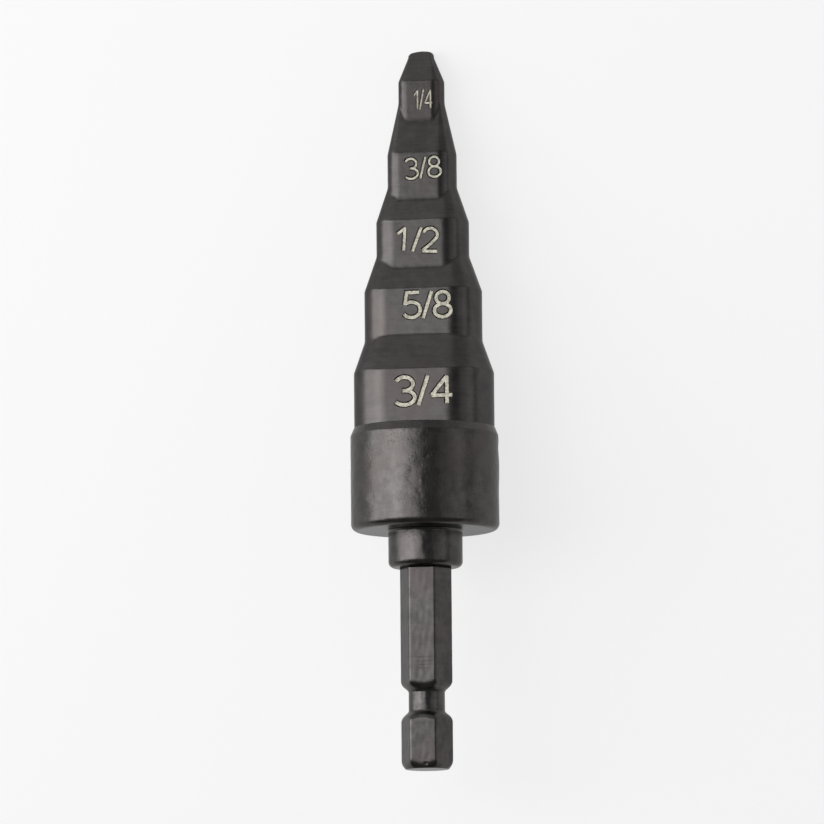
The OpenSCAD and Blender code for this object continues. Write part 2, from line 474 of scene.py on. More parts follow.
@dataclass(frozen=True)
class Shank:
    """The hexagonal shank with its groove, in millimetres and levels along the axis.

    Attributes:
        bar: The hexagon that it is made from.
        end_radius: Radius of the end face.
        chamfer: Length of the end chamfer over the corners.
        floor_start: Level where the groove's straight floor begins.
        floor_end: Level where it ends.
        shoulder: Rise of the groove's shoulders for each millimetre of length.
        floor_radius: Radius of the groove's floor.
        fillet: Reach of the fillets at the floor.
        blunt: Reach of the rounding between the two shoulders.
        seam: Reach of the rounding between the groove and the chamfer.
        clearance: How far outside the corners a cut begins.
        softness: Reach of the rounding where a cut leaves the bar.
        lateness: Power by which a cut draws the corners in late.
        later: What the flats add to that power.
        stop: Level inside the neck where the shank ends.
        face_rings: Rings of the end face, as shares of its radius.
        stations: Levels and the spacing of the rings from each on.
        sectors: Points in each ring.
        waves: Slow unevenness of the surface.
        dents: Knocks and crosswise scratches.
    """

    bar: Hexagon = Hexagon()
    end_radius: float = 2.95
    chamfer: float = 0.8
    floor_start: float = 7.9
    floor_end: float = 10.8
    shoulder: float = 1.05
    floor_radius: float = 2.5
    fillet: float = 0.25
    blunt: float = 0.2
    seam: float = 0.03
    clearance: float = 0.02
    softness: float = 0.6
    lateness: float = 1.35
    later: float = 0.65
    stop: float = 27.95
    face_rings: tuple[float, ...] = (0.35, 0.65, 0.85, 0.95)
    stations: Stations = (
        (0.02, 0.05),
        (2.0, 0.2),
        (6.1, 0.06),
        (8.2, 0.2),
        (10.5, 0.06),
        (12.8, 0.1),
        (15.6, 0.3),
    )
    sectors: int = 240
    waves: Waves = Waves(0.004, 7)
    dents: tuple[Dent, ...] = (
        Dent(0.6, -83.0, 0.08, 0.16, 4.0),
        Dent(13.6, -88.0, 0.012, 0.12, 22.0),
        Dent(14.1, -92.0, 0.012, 0.12, 20.0),
        Dent(14.6, -86.0, 0.012, 0.12, 20.0),
        Dent(15.2, -90.0, 0.012, 0.12, 24.0),
    )

    def drawn_in(self, hexagon: np.ndarray, cut: Lengths, inner: float) -> np.ndarray:
        """Give the bar's radius where a cut draws it in to a round.

        Args:
            hexagon: The uncut radius in each direction.
            cut: Radius of the cut's outline over the corners, at this level.
            inner: Radius of the round that the cut ends on.

        Returns:
            Radii between the hexagon and the round, drawn in later on the flats than on the corners.
        """
        outer, half = self.bar.outer_radius() + self.clearance, self.bar.flats / 2
        left = (soft_min(cut, outer, self.softness) - inner) / (outer - inner)
        power = self.lateness + self.later * (outer - hexagon) / (outer - half)
        return inner + (hexagon - inner) * (1.0 - np.clip(1.0 - left, 0.0, None) ** power)

    def radius(self, angle: np.ndarray, level: float) -> np.ndarray:
        """Give the shank's radius at one level, with its groove and end chamfer.

        Args:
            angle: Directions round the axis, in radians.
            level: Level along the axis, in millimetres.

        Returns:
            Radii in millimetres.
        """
        hexagon = self.bar.radius(angle)
        chamfer = self.end_radius + level * (self.bar.outer_radius() - self.end_radius) / self.chamfer
        below = self.floor_radius + (self.floor_start - level) * self.shoulder
        above = self.floor_radius + (level - self.floor_end) * self.shoulder
        groove = soft_max(soft_max(below, above, self.blunt), self.floor_radius, self.fillet)
        grooved = self.drawn_in(hexagon, groove, self.floor_radius)
        return soft_min(grooved, self.drawn_in(hexagon, chamfer, self.end_radius), self.seam)

    def mesh(self) -> bpy.types.Mesh:
        """Make the shank from its end face to inside the neck.

        Returns:
            The mesh, in metres on the bit's own axes.
        """
        skin = Skin(self.sectors)
        for share in self.face_rings:
            skin.add(self.end_radius * share, 0.0)
        for level in spaced([*self.stations, (self.stop, 0.0)]):
            radius = self.radius(skin.angle, level)
            radius = radius + self.waves.rise(skin.angle, np.full_like(skin.angle, level))
            for dent in self.dents:
                radius = radius - dent.drop(skin.angle, level)
            skin.add(radius, level)
        return skin.mesh("hex_shank", 0.0, self.stop)


@dataclass(frozen=True)
class SteppedBody:
    """The drafted, lobed steps with the nose and the blunt tip, in millimetres.

    Attributes:
        steps: The steps, from the largest to the smallest.
        start: Level inside the collar where the skin begins.
        edge: Reach of the rounding at the steps' upper edges.
        fillet: Reach of the fillets where a taper meets the next step.
        beyond: How far past its blends' radius a taper is drawn in.
        nose_height: Length of the nose over the last step.
        nose_slope: Slope of the nose's round sides, in degrees from the axis.
        tip_height: Length of the blunt tip over the nose.
        tip_round: Radius of the tip's edge.
        tip_dome: Height of the dome on the tip.
        tip_lean: How far the tip's end leans, as a slope.
        calm: Radius under which the waves die down.
        edge_rings: Offsets from each upper edge, and the spacing of the rings from there on.
        meet_rings: The same from where a taper meets the next step.
        nose_rings: The same from the last upper edge.
        first_gap: Spacing of the rings up to the first edge.
        land_rings: Rings of the tip's side, as shares of its height.
        round_turns: First and last direction of the tip's edge, in degrees, and its points.
        dome_rings: Rings of the dome, as shares of its radius.
        sectors: Points in each ring.
        waves: Slow unevenness of the surface.
    """

    steps: tuple[LobedStep, ...] = STEPS
    start: float = 46.3
    edge: float = 0.06
    fillet: float = 0.12
    beyond: float = 3.0
    nose_height: float = 3.4
    nose_slope: float = 22.4
    tip_height: float = 0.9
    tip_round: float = 0.65
    tip_dome: float = 0.15
    tip_lean: float = 0.07
    calm: float = 5.0
    edge_rings: Stations = ((-1.0, 0.06), (0.4, 0.3))
    meet_rings: Stations = ((-0.9, 0.1), (0.9, 0.4))
    nose_rings: Stations = ((-0.7, 0.06), (0.3, 0.2))
    first_gap: float = 1.0
    land_rings: tuple[float, ...] = (0.3, 0.65, 1.0)
    round_turns: tuple[float, float, int] = (9.0, 81.0, 9)
    dome_rings: tuple[float, ...] = (1.0, 0.8, 0.6, 0.4, 0.25, 0.12)
    sectors: int = 288
    waves: Waves = Waves(0.004, 5)

    def nose_inset(self) -> float:
        """Give how far the nose's lobes have drawn in where the blunt tip begins."""
        return self.nose_height * math.tan(math.radians(self.nose_slope))

    def tip_radius(self) -> float:
        """Give the tip's radius outside its rounded edge."""
        return self.steps[-1].diameter / 2 - self.nose_inset()

    def tip_level(self) -> float:
        """Give the level of the tip's highest point."""
        return self.steps[-1].top + self.nose_height + self.tip_height

    def dome_radius(self) -> float:
        """Give the radius of the tip's shallow dome."""
        chord = self.tip_radius() - self.tip_round
        return (chord**2 + self.tip_dome**2) / (2 * self.tip_dome)

    def radius(self, angle: np.ndarray, level: np.ndarray) -> np.ndarray:
        """Give the radius of all steps together.

        Args:
            angle: Directions round the axis, in radians.
            level: Levels along the axis, in millimetres.

        Returns:
            Radii in millimetres.
        """
        total: np.ndarray | None = None
        for step in self.steps:
            piece = step.surface(angle, level, self.edge, step.blend + self.beyond)
            total = piece if total is None else soft_max(total, piece, self.fillet)
        last = self.steps[-1]
        turned = last.diameter / 2 - (level - last.top) * math.tan(math.radians(self.nose_slope))
        return soft_min(total, turned, self.edge)

    def tip_outline(self) -> list[tuple[float, float]]:
        """Give the turned outline of the tip, from the nose upwards.

        Returns:
            Points of the outline as radius and level.
        """
        chord, dome = self.tip_radius() - self.tip_round, self.dome_radius()
        start = self.steps[-1].top + self.nose_height
        land = self.tip_level() - self.tip_dome - self.tip_round
        points = [(self.tip_radius(), start + (land - start) * share) for share in self.land_rings]
        for turn in np.radians(np.linspace(*self.round_turns)):
            points.append((chord + self.tip_round * math.cos(turn), land + self.tip_round * math.sin(turn)))
        for share in self.dome_rings:
            radius = chord * share
            points.append((radius, self.tip_level() - dome + math.sqrt(dome**2 - radius**2)))
        return points

    def tip_section(self, angle: np.ndarray, reach: float, level: float) -> Lengths:
        """Give the tip's radius at a level, where its flats and blends go on sloping.

        Args:
            angle: Directions round the axis, in radians.
            reach: Radius of the turned outline there.
            level: Level along the axis, in millimetres.

        Returns:
            Radii in millimetres.
        """
        last = self.steps[-1]
        inset = (level - last.top) * math.tan(math.radians(last.slope))
        return soft_min(reach, last.radius(angle, np.full_like(angle, inset)), self.edge)

    def mesh(self) -> bpy.types.Mesh:
        """Make the steps from inside the collar to the tip.

        Returns:
            The mesh, in metres on the bit's own axes.
        """
        skin = Skin(self.sectors)
        stops = [(self.start, self.first_gap)]
        for step, after in zip(self.steps, self.steps[1:]):
            stops += [(step.top + offset, gap) for offset, gap in self.edge_rings]
            meet = step.top + (step.diameter - after.diameter) / 2 / math.tan(math.radians(step.slope))
            stops += [(meet + offset, gap) for offset, gap in self.meet_rings]
        top = self.steps[-1].top
        nose_top = top + self.nose_height
        stops += [(top + offset, gap) for offset, gap in self.nose_rings]
        for level in spaced([*stops, (nose_top, 0.0)]):
            levels = np.full_like(skin.angle, level)
            radius = self.radius(skin.angle, levels)
            worn = self.waves.rise(skin.angle, levels) * np.minimum(1.0, radius / self.calm)
            skin.add(radius + worn, level)
        for reach, level in self.tip_outline():
            radius = self.tip_section(skin.angle, reach, level)
            lean = self.tip_lean * radius * np.cos(skin.angle) * (level - nose_top) / self.tip_height
            skin.add(radius, level + lean)
        return skin.mesh("stepped_body", self.start, self.tip_level())


@dataclass(frozen=True)
class Placement:
    """Where the bit lies at rest: on the collar's rim and on the end of a step's flat.

    Attributes:
        tilt: How far its axis slopes down to the tip, in radians.
        lift: Height of the middle of the shank's end face over the ground, in millimetres.
        middle: How far along the ground from there the frame's origin is, in millimetres.
    """

    tilt: float
    lift: float
    middle: float

    @classmethod
    def resting(cls, shank: Shank, collar: Collar, body: SteppedBody) -> "Placement":
        """Work the resting place out from the sizes, as the solid does.

        Args:
            shank: The shank, for its end face.
            collar: The collar, for its rim.
            body: The steps, for their flats and the tip.

        Returns:
            The placement, with its angle in radians and its lengths in millimetres.
        """
        tilt = min(
            math.atan((collar.radius - step.flats / 2) / (step.top - collar.rim)) for step in body.steps
        )
        lift = collar.radius * math.cos(tilt) + collar.rim * math.sin(tilt)
        rear = -shank.end_radius * math.sin(tilt)
        dome = body.dome_radius()
        front = (body.tip_level() - dome) * math.cos(tilt) + dome
        return cls(tilt, lift, (rear + front) / 2)

    def matrix(self) -> Matrix:
        """Give the matrix that takes the bit's own axes to the frame."""
        turn = Matrix.Rotation(-math.pi / 2 - self.tilt, 4, "X")
        return Matrix.Translation((0.0, -self.middle * MM, self.lift * MM)) @ turn


class Glyph(Enum):
    """Plain figures of the size marks, each as strokes on a height of 1."""

    ONE = "1"
    TWO = "2"
    THREE = "3"
    FOUR = "4"
    FIVE = "5"
    EIGHT = "8"
    SLASH = "/"

    def width(self) -> float:
        """Give the figure's width on a height of 1."""
        return {"1": 0.3, "/": 0.3, "4": 0.62, "2": 0.56}.get(self.value, 0.58)

    def strokes(self) -> list[tuple[np.ndarray, bool]]:
        """Give the figure's strokes.

        Returns:
            Points of each stroke's middle line, and whether it closes on itself.
        """
        bow = self.bow
        shapes = {
            "1": [[(0.0, 0.72), (0.3, 1.0)], [(0.27, 1.0), (0.27, 0.0)]],
            "/": [[(0.0, -0.03), (0.3, 1.03)]],
            "4": [[(0.46, 1.0), (0.46, 0.0)], [(0.46, 0.98), (0.0, 0.3)], [(-0.02, 0.3), (0.62, 0.3)]],
            "2": [
                [*bow(0.28, 0.72, 0.27, 0.28, 165, -25), (0.33, 0.34), (0.0, 0.02)],
                [(-0.02, 0.0), (0.57, 0.0)],
            ],
            "3": [
                [*bow(0.27, 0.75, 0.26, 0.25, 155, -75), (0.2, 0.515)],
                [(0.2, 0.515), *bow(0.27, 0.26, 0.31, 0.26, 80, -150)],
            ],
            "5": [
                [(0.54, 1.0), (0.1, 1.0), (0.04, 0.5)],
                bow(0.27, 0.31, 0.31, 0.31, 138, -150),
            ],
            "8": [bow(0.29, 0.76, 0.23, 0.24, 90, -270), bow(0.29, 0.26, 0.29, 0.26, 90, -270)],
        }
        closed = self is Glyph.EIGHT
        return [(np.array(points[:-1] if closed else points), closed) for points in shapes[self.value]]

    @staticmethod
    def bow(
        x: float, y: float, wide: float, tall: float, start: float, end: float
    ) -> list[tuple[float, float]]:
        """Give points along part of an ellipse.

        Args:
            x: Middle across.
            y: Middle upwards.
            wide: Half width.
            tall: Half height.
            start: First direction, in degrees.
            end: Last direction, in degrees.

        Returns:
            The points from start to end.
        """
        count = max(BOW_SPANS, int(abs(end - start) / BOW_TURN)) + 1
        turns = np.radians(np.linspace(start, end, count))
        return [(x + wide * math.cos(t), y + tall * math.sin(t)) for t in turns]


@dataclass(frozen=True)
class SizeMark:
    """One engraved pipe size on a step's upward flat, in millimetres.

    Attributes:
        text: The figures.
        step: The step that carries them.
        across: Middle of the mark, to the right of the flat's middle.
        level: Middle of the mark along the axis.
        height: Height of the figures.
        width: Width of the whole mark.
        stroke: Width of the engraved line.
        lean: How far the line of figures rises to the right, in degrees.
        gaps: Room before and after the slash, on a height of 1.
        draft: How much wider the groove is on each side at the flat than at its floor.
    """

    text: str
    step: LobedStep
    across: float
    level: float
    height: float
    width: float
    stroke: float
    lean: float
    gaps: tuple[float, float] = (0.1, 0.1)
    draft: float = 0.15

    def lines(self) -> list[tuple[np.ndarray, bool]]:
        """Lay the strokes out on the flat.

        Returns:
            Points of each stroke, across and along the bit in millimetres, and whether it closes.
        """
        glyphs = [Glyph(letter) for letter in self.text]
        natural = sum(glyph.width() for glyph in glyphs) + sum(self.gaps)
        tall = self.height - self.stroke
        wide = (self.width - self.stroke) / natural
        turn = math.radians(self.lean)
        cosine, sine = math.cos(turn), math.sin(turn)
        laid, start = [], -natural / 2
        for glyph, gap in zip(glyphs, (*self.gaps, 0.0)):
            for points, closed in glyph.strokes():
                x = (points[:, 0] + start) * wide
                y = (points[:, 1] - 0.5) * tall
                line = np.stack([x * cosine - y * sine + self.across, x * sine + y * cosine + self.level], 1)
                laid.append((line, closed))
            start += glyph.width() + gap
        return laid

    def cutters(self, depth: float, above: float) -> list[bpy.types.Object]:
        """Make one closed cutter for each stroke.

        Args:
            depth: Depth of the engraving under the flat.
            above: How far the cutters stand over the flat.

        Returns:
            The cutters, on the bit's own axes.
        """
        made = []
        for number, (line, closed) in enumerate(self.lines()):
            made.append(self.cutter(f"cutter_{number}", line, closed, depth, above))
        return made

    def cutter(
        self, name: str, line: np.ndarray, closed: bool, depth: float, above: float
    ) -> bpy.types.Object:
        """Make the cutter of one stroke as a mitred strip.

        Args:
            name: Name of the object.
            line: Points of the stroke's middle line.
            closed: Whether the stroke closes on itself.
            depth: Depth under the flat.
            above: Height over the flat.

        Returns:
            The cutter.
        """
        ahead, behind = np.roll(line, -1, 0) - line, line - np.roll(line, 1, 0)
        if not closed:
            ahead[-1], behind[0] = behind[-1], ahead[0]
        ahead /= np.linalg.norm(ahead, axis=1, keepdims=True)
        behind /= np.linalg.norm(behind, axis=1, keepdims=True)
        middle = ahead + behind
        middle /= np.linalg.norm(middle, axis=1, keepdims=True)
        side = np.stack([-middle[:, 1], middle[:, 0]], 1)
        share = np.clip((middle * ahead).sum(1, keepdims=True), MITRE_LIMIT, 1.0)
        side = side / share
        narrow, wide = self.stroke / 2, self.stroke / 2 + self.draft * (depth + above) / depth
        floor, roof = -(self.step.flats / 2 - depth), -(self.step.flats / 2 + above)
        points = []
        for spot, out in zip(line, side):
            low, high = out * narrow, out * wide
            for edge, height in ((-low, floor), (low, floor), (high, roof), (-high, roof)):
                x, z = spot + edge
                points.append((x * MM, height * MM, z * MM))
        count = len(line)
        faces = []
        for here in range(count if closed else count - 1):
            low, high = 4 * here, 4 * ((here + 1) % count)
            faces += [(low + k, low + (k + 1) % 4, high + (k + 1) % 4, high + k) for k in range(4)]
        if not closed:
            last = 4 * (count - 1)
            faces += [(3, 2, 1, 0), (last, last + 1, last + 2, last + 3)]
        mesh = bpy.data.meshes.new(name)
        mesh.from_pydata(points, [], faces)
        face_outwards(mesh)
        return placed(name, mesh)


def face_outwards(mesh: bpy.types.Mesh) -> None:
    """Turn all faces of a closed mesh outwards.

    Args:
        mesh: The mesh to change.
    """
    shape = bmesh.new()
    shape.from_mesh(mesh)
    bmesh.ops.recalc_face_normals(shape, faces=shape.faces)
    shape.to_mesh(mesh)
    shape.free()


class Carving(Enum):
    """What a tool does to the mesh that it meets, by Blender's name."""

    JOIN = "UNION"
    CUT = "DIFFERENCE"


def carve(target: bpy.types.Object, tool: bpy.types.Object, carving: Carving) -> None:
    """Join a tool to a mesh or cut it away, and delete the tool.

    Args:
        target: The object to change.
        tool: The other object.
        carving: Whether the tool is joined or cuts.
    """
    modifier = target.modifiers.new("carve", "BOOLEAN")
    modifier.operation = carving.value
    modifier.solver = "MANIFOLD"
    modifier.object = tool
    graph = bpy.context.evaluated_depsgraph_get()
    shaped = bpy.data.meshes.new_from_object(target.evaluated_get(graph))
    target.modifiers.clear()
    old, target.data = target.data, shaped
    bpy.data.meshes.remove(old)
    bpy.data.meshes.remove(tool.data)


class Operation(Enum):
    """What a Math or Vector Math node does, by Blender's name."""

    ADD = "ADD"
    SUBTRACT = "SUBTRACT"
    MULTIPLY = "MULTIPLY"
    LEAST = "MINIMUM"
    MOST = "MAXIMUM"


class Sig:
    """A shader socket that takes part in arithmetic and adds its Math nodes."""

    def __init__(self, graph: "Graph", socket: bpy.types.NodeSocket) -> None:
        """Wrap a socket of this graph."""
        self.graph = graph
        self.socket = socket

    def math(self, operation: Operation, *values: Value) -> "Sig":
        """Add a Math node.

        Args:
            operation: The node's operation.
            *values: Its inputs in order.

        Returns:
            The node's result.
        """
        node = self.graph.node("ShaderNodeMath", {"operation": operation.value}, dict(enumerate(values)))
        return Sig(self.graph, node.outputs[0])

    def __add__(self, other: Value) -> "Sig":
        """Add."""
        return self.math(Operation.ADD, self, other)

    __radd__ = __add__

    def __mul__(self, other: Value) -> "Sig":
        """Multiply."""
        return self.math(Operation.MULTIPLY, self, other)

    __rmul__ = __mul__

    def __sub__(self, other: Value) -> "Sig":
        """Subtract a value from this one."""
        return self.math(Operation.SUBTRACT, self, other)

    def __rsub__(self, other: Value) -> "Sig":
        """Subtract this one from a value."""
        return self.math(Operation.SUBTRACT, other, self)

    def clip(self) -> "Sig":
        """Keep between 0 and 1."""
        return self.math(Operation.LEAST, self.math(Operation.MOST, self, 0.0), 1.0)


@dataclass(frozen=True)
class Grain:
    """One smooth noise of a surface.

    Attributes:
        scale: Waves per metre.
        detail: Octaves.
        roughness: Strength of the finer octaves.
        stretch: Factors for the place along each axis, small where the noise is drawn out.
        span: Values under and over which patches of it are flat.
    """

    scale: float
    detail: float = 2.0
    roughness: float = 0.55
    stretch: tuple[float, float, float] | None = None
    span: tuple[float, float] = (0.0, 1.0)


def tinted(colour: Colour, *factors: float) -> Colour:
    """Multiply a colour by one factor, or by one for each channel."""
    red, green, blue = factors if len(factors) == len(colour) else factors * len(colour)
    return colour[0] * red, colour[1] * green, colour[2] * blue


class Graph:
    """The nodes of one material."""

    def __init__(self, name: str) -> None:
        """Make an empty material with its output.

        Args:
            name: Name of the material.
        """
        self.material = bpy.data.materials.new(name)
        self.material.use_nodes = True
        self.tree = self.material.node_tree
        self.tree.nodes.clear()
        self.output = self.node("ShaderNodeOutputMaterial", {}, {})

    def node(self, kind: str, settings: dict[str, Setting], inputs: Inputs) -> bpy.types.Node:
        """Add one node.

        Args:
            kind: Type of the node.
            settings: Its properties, set first.
            inputs: Values or links of its sockets, by name or number.

        Returns:
            The node.
        """
        node = self.tree.nodes.new(kind)
        for key, value in settings.items():
            setattr(node, key, value)
        for key, value in inputs.items():
            if isinstance(value, Sig):
                self.tree.links.new(value.socket, node.inputs[key])
            else:
                node.inputs[key].default_value = value
        return node

    def out(self, node: bpy.types.Node, name: str | int = 0) -> Sig:
        """Wrap one output of a node."""
        return Sig(self, node.outputs[name])

    def place(self, placement: Placement) -> Sig:
        """Give the place on the bit's own axes, in metres.

        Args:
            placement: Where the bit lies.

        Returns:
            The place of the point that is shaded.
        """
        lying = self.out(self.node("ShaderNodeTexCoord", {}, {}), "Object")
        matrix = placement.matrix()
        inputs: Inputs = {"Vector": lying, "Location": matrix.translation, "Rotation": matrix.to_euler()}
        return self.out(self.node("ShaderNodeMapping", {"vector_type": "TEXTURE"}, inputs))

    def stretched(self, place: Sig, scale: tuple[float, float, float]) -> Sig:
        """Scale a place along each axis."""
        settings: dict[str, Setting] = {"operation": Operation.MULTIPLY.value}
        return self.out(self.node("ShaderNodeVectorMath", settings, {0: place, 1: scale}))

    def noise(self, place: Sig, grain: Grain) -> Sig:
        """Give smooth noise around 0.5.

        Args:
            place: Where it is read.
            grain: The noise that is wanted.

        Returns:
            The noise.
        """
        if grain.stretch is not None:
            place = self.stretched(place, grain.stretch)
        inputs: Inputs = {
            "Vector": place,
            "Scale": grain.scale,
            "Detail": grain.detail,
            "Roughness": grain.roughness,
        }
        return self.out(self.node("ShaderNodeTexNoise", {}, inputs), "Fac")

    def bump(self, height: Sig) -> Sig:
        """Give the normal of a surface that is raised by a height in metres."""
        return self.out(self.node("ShaderNodeBump", {}, {"Strength": 1.0, "Distance": 1.0, "Height": height}))

    def patches(self, place: Sig, grain: Grain) -> Sig:
        """Give noise ramped over its own span."""
        return self.ramp(self.noise(place, grain), *grain.span)

    def ramp(self, value: Sig, low: float, high: float) -> Sig:
        """Give 0 below low and 1 above high, smoothly between.

        Args:
            value: What is ramped.
            low: Value that gives 0.
            high: Value that gives 1.

        Returns:
            The ramped value.
        """
        inputs: Inputs = {"Value": value, "From Min": low, "From Max": high, "To Min": 0.0, "To Max": 1.0}
        node = self.node("ShaderNodeMapRange", {"interpolation_type": "SMOOTHSTEP"}, inputs)
        return self.out(node)

    def mix(self, share: Sig, first: Colour | Sig, second: Colour | Sig) -> Sig:
        """Mix two colours by a share of the second.

        Args:
            share: Share of the second.
            first: The first colour.
            second: The second colour.

        Returns:
            The mixed colour.
        """
        padded = [(*c, 1.0) if isinstance(c, tuple) else c for c in (first, second)]
        node = self.node("ShaderNodeMix", {"data_type": "RGBA"}, {0: share, 6: padded[0], 7: padded[1]})
        return self.out(node, 2)

    def finish(self, shader: bpy.types.Node) -> bpy.types.Material:
        """Link the shader to the output and give the material."""
        self.tree.links.new(shader.outputs[0], self.output.inputs["Surface"])
        return self.material


@dataclass(frozen=True)
class BlackenedSteel:
    """Satin blackened steel with crosswise tool marks.

    Attributes:
        name: Name of the material.
        line_depth: Depth of the tool marks, in metres.
        peel_depth: Depth of the orange-peel unevenness, in metres.
        flow_depth: Depth of the long streaks along the axis, in metres.
        pit_depth: Depth of the scattered pits, in metres.
        streaks: Share of the tool marks in the changes of tone, the rest being slow clouds.
        contrast: How far the tone goes up and down, where 1 is from black to twice as light.
        edge_tint: How much of the light a grazing view gives back.
        tone: Its colour.
        browned: Factors for the colour where it is slightly brown.
        brownness: Most of the browned colour that is mixed in.
        roughness: Roughness where the noises are at their middle.
        roughening: How far the clouds, the tool marks and the grain vary it.
        lines: The tool marks.
        peel: The orange-peel unevenness.
        clouds: Slow changes of tone.
        grain: Finest changes of roughness.
        browns: Where the colour is slightly brown.
        pits: The scattered pits.
        pitted: Where the pits are thickest.
        flow: The long streaks along the axis.
    """

    name: str
    line_depth: float
    peel_depth: float
    flow_depth: float = 0.0
    pit_depth: float = 0.0
    streaks: float = 0.5
    contrast: float = 0.2
    edge_tint: float = 0.6
    tone: Colour = (0.067, 0.0635, 0.0625)
    browned: Colour = (1.06, 0.97, 0.95)
    brownness: float = 0.5
    roughness: float = 0.32
    roughening: tuple[float, float, float] = (0.08, 0.05, 0.03)
    lines: Grain = Grain(3200.0, 4.0, 0.6, (0.08, 0.08, 1.0), (0.3, 0.7))
    peel: Grain = Grain(900.0, 5.0, 0.6)
    clouds: Grain = Grain(600.0, 4.0, 0.6, span=(0.34, 0.66))
    grain: Grain = Grain(9000.0, 2.0, 0.6)
    browns: Grain = Grain(130.0, span=(0.42, 0.62))
    pits: Grain = Grain(2600.0, span=(0.5, 0.72))
    pitted: Grain = Grain(240.0, span=(0.42, 0.6))
    flow: Grain = Grain(1100.0, 3.0, 0.55, (1.0, 1.0, 0.16))

    def colour(self, graph: Graph, place: Sig, lines: Sig, clouds: Sig) -> Sig:
        """Give the colour, streaked and clouded, with patches of brown.

        Args:
            graph: The material's nodes.
            place: Where the noises are read.
            lines: The tool marks.
            clouds: The slow clouds.

        Returns:
            The colour.
        """
        streak, patch = graph.ramp(lines, *self.lines.span), graph.ramp(clouds, *self.clouds.span)
        lighter, darker = tinted(self.tone, 1 + self.contrast), tinted(self.tone, 1 - self.contrast)
        share = (streak * self.streaks + patch * (1 - self.streaks)).clip()
        brown = graph.patches(place, self.browns) * self.brownness
        return graph.mix(brown, graph.mix(share, darker, lighter), tinted(self.tone, *self.browned))

    def material(self, placement: Placement) -> bpy.types.Material:
        """Build the material.

        Args:
            placement: Where the bit lies.

        Returns:
            The material.
        """
        graph = Graph(self.name)
        place = graph.place(placement)
        lines, peel = graph.noise(place, self.lines), graph.noise(place, self.peel)
        clouds, grain = graph.noise(place, self.clouds), graph.noise(place, self.grain)
        for_clouds, for_lines, for_grain = self.roughening
        least = self.roughness - sum(self.roughening) / 2
        pits = graph.patches(place, self.pits) * graph.patches(place, self.pitted)
        flow = graph.noise(place, self.flow)
        raised = lines * self.line_depth + peel * self.peel_depth + flow * self.flow_depth
        inputs: Inputs = {
            "Base Color": self.colour(graph, place, lines, clouds),
            "Metallic": 1.0,
            "Roughness": least + clouds * for_clouds + lines * for_lines + grain * for_grain,
            "Specular Tint": (*(self.edge_tint,) * 3, 1.0),
            "Normal": graph.bump(raised - pits * self.pit_depth),
        }
        return graph.finish(graph.node("ShaderNodeBsdfPrincipled", {}, inputs))


@dataclass(frozen=True)
class EngravedFloor:
    """Steel in the engraved figures, with the marks of the engraving point; a near-black copy of it paints
    shade on the figures' sloping sides.

    Attributes:
        name: Name of the material.
        tone: Its colour.
        dull: Factor for the colour in the marks.
        roughness: Roughness of the bare steel.
        roughening: What the marks add to it.
        marks: The marks of the point.
        mark_depth: Their depth, in metres.
    """

    name: str = "bare_engraving"
    tone: Colour = (0.62, 0.595, 0.50)
    dull: float = 0.52
    roughness: float = 0.5
    roughening: float = 0.1
    marks: Grain = Grain(3000.0, 3.0, 0.65, span=(0.36, 0.62))
    mark_depth: float = 1.2e-5

    def material(self, placement: Placement) -> bpy.types.Material:
        """Build the material.

        Args:
            placement: Where the bit lies.

        Returns:
            The material.
        """
        graph = Graph(self.name)
        marks = graph.noise(graph.place(placement), self.marks)
        share = graph.ramp(marks, *self.marks.span)
        inputs: Inputs = {
            "Base Color": graph.mix(share, tinted(self.tone, self.dull), self.tone),
            "Metallic": 1.0,
            "Roughness": self.roughness + marks * self.roughening,
            "Normal": graph.bump(marks * self.mark_depth),
        }
        return graph.finish(graph.node("ShaderNodeBsdfPrincipled", {}, inputs))


class Surface(Enum):
    """Places of the engraved body's finishes in its material slots."""

    PLAIN = 0
    FLOOR = 1
    # The figures' sloping sides, whose near-black finish is painted shade.
    SIDE = 2


SHANK_STEEL = BlackenedSteel(
    "blackened_hexagon", 2.5e-6, 8.0e-6, streaks=0.25, contrast=0.3, edge_tint=0.85
)
COLLAR_STEEL = BlackenedSteel(
    "blackened_collar", 1.5e-6, 2.3e-5, flow_depth=2.3e-5, pit_depth=1.2e-5, streaks=0.2, edge_tint=0.75
)
STEP_STEEL = BlackenedSteel(
    "blackened_steps", 5.0e-6, 1.3e-5, streaks=0.4, contrast=0.17, edge_tint=0.57
)
# Near-black finish of the figures' sloping sides: painted shade that draws dark outlines along the strokes.
PAINTED_SHADE_SIDES = EngravedFloor("painted_shade_sides", (0.03, 0.028, 0.022))


